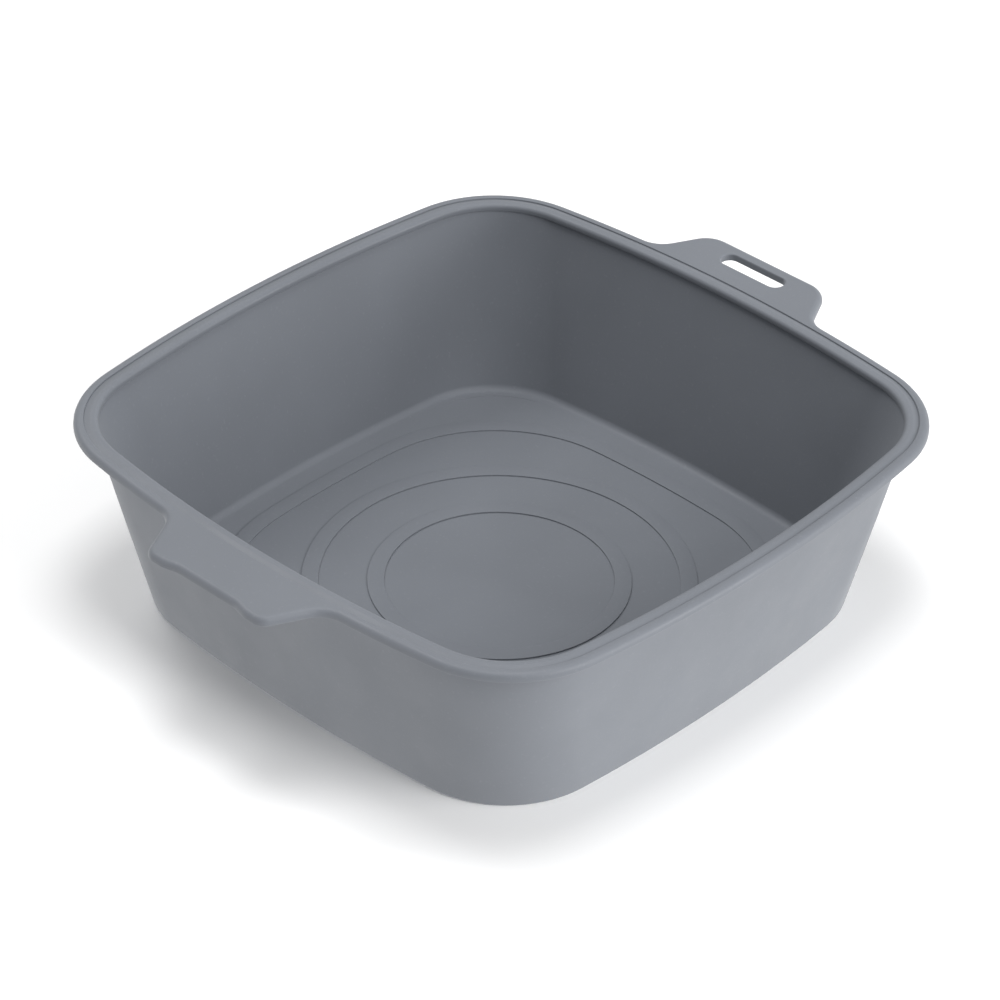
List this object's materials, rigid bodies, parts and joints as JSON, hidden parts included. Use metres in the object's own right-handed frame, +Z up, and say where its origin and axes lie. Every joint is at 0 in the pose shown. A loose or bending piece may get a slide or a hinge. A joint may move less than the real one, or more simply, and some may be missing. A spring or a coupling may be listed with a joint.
{
  "type": "soaking basin",
  "caption": "Soft square basin with drafted walls, a beaded rim, raised rings on the floor, a plain pull tab and a slotted tab for hanging.",
  "frame": {"origin": "centre of the flat base, on the surface it rests on", "axes": "+Z up, out of the mouth; +Y towards the slotted tab; -Y towards the plain tab; +X across, to the right as seen from the plain tab"},
  "size_m": [0.2068, 0.2384, 0.0623],
  "materials": {
    "silicone": "matte"
  },
  "bodies": {
    "root": {"floor_panel": "silicone", "wall_shell": "silicone", "rim_bead": "silicone", "rim_lip_left": "silicone", "rim_lip_right": "silicone", "front_tab": "silicone", "rear_tab": "silicone", "floor_ring_inner": "silicone", "floor_ring_middle": "silicone", "floor_ring_outer": "silicone"}
  },
  "joints": []
}
